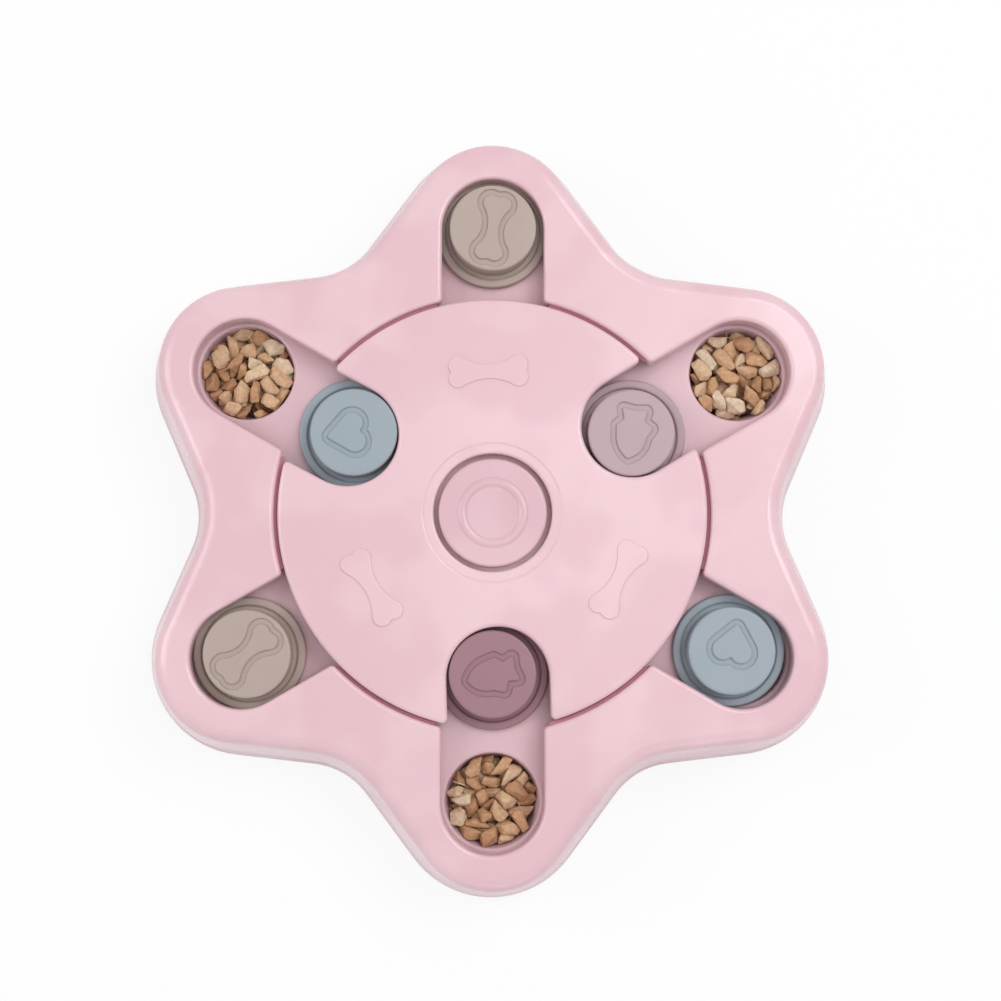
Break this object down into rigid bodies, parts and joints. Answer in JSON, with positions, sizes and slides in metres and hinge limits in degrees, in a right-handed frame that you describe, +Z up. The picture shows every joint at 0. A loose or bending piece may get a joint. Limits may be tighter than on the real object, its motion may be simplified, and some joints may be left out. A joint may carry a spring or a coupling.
{
  "type": "dog puzzle feeder toy",
  "caption": "Star-shaped dog puzzle feeder with food wells under sliding pucks, a turntable and a squeak button.",
  "frame": {"origin": "on the turntable axis, in the plane of the feet's undersides", "axes": "+Z up along the turntable axis, +Y towards a lobe tip, +X across between two lobes"},
  "size_m": [0.2358, 0.262, 0.0358],
  "materials": {
    "pink_plastic": "glossy moulded",
    "taupe_plastic": "satin moulded",
    "blue_plastic": "satin moulded",
    "mauve_plastic": "satin moulded",
    "white_plastic": "satin moulded",
    "soft_rubber": "matt",
    "foot_rubber": "matt",
    "screw_steel": "zinc plated"
  },
  "bodies": {
    "case": {"base_tray": "pink_plastic", "top_cover": "pink_plastic", "case_screws": "screw_steel", "foot_1": "foot_rubber", "foot_2": "foot_rubber", "foot_3": "foot_rubber", "foot_4": "foot_rubber", "foot_5": "foot_rubber", "foot_6": "foot_rubber"},
    "turntable": {"turntable": "pink_plastic", "hub_retainer": "pink_plastic", "retainer_screws": "screw_steel", "squeaker_reed": "white_plastic", "squeaker_bellows": "soft_rubber"},
    "button": {"squeak_button": "pink_plastic"},
    "puck_fish_right": {"puck_fish_right": "mauve_plastic"},
    "puck_bone_top": {"puck_bone_top": "taupe_plastic"},
    "puck_heart_left": {"puck_heart_left": "blue_plastic"},
    "puck_bone_left": {"puck_bone_left": "taupe_plastic"},
    "puck_fish_bottom": {"puck_fish_bottom": "mauve_plastic"},
    "puck_heart_right": {"puck_heart_right": "blue_plastic"}
  },
  "joints": [
    {"name": "turntable_turn", "type": "hinge", "parent": "case", "child": "turntable", "pos_m": [0, 0, 0.02], "axis": [0, 0, 1], "range_deg": [-360, 360]},
    {"name": "button_press", "type": "slide", "parent": "turntable", "child": "button", "axis": [0, 0, -1], "range_m": [0, 0.003], "stiffness_N_per_m": 900, "deforming": ["squeaker_bellows"]},
    {"name": "puck_fish_right_slide", "type": "slide", "parent": "turntable", "child": "puck_fish_right", "axis": [0.866, 0.5, 0], "range_m": [0, 0.04222]},
    {"name": "puck_bone_top_slide", "type": "slide", "parent": "case", "child": "puck_bone_top", "axis": [0, 1, 0], "range_m": [-0.0094, 0]},
    {"name": "puck_heart_left_slide", "type": "slide", "parent": "turntable", "child": "puck_heart_left", "axis": [-0.866, 0.5, 0], "range_m": [0, 0.04222]},
    {"name": "puck_bone_left_slide", "type": "slide", "parent": "case", "child": "puck_bone_left", "axis": [-0.866, -0.5, 0], "range_m": [-0.0072, 0.0022]},
    {"name": "puck_fish_bottom_slide", "type": "slide", "parent": "turntable", "child": "puck_fish_bottom", "axis": [0, -1, 0], "range_m": [0, 0.04222]},
    {"name": "puck_heart_right_slide", "type": "slide", "parent": "case", "child": "puck_heart_right", "axis": [0.866, -0.5, 0], "range_m": [-0.00518, 0.00422]}
  ]
}
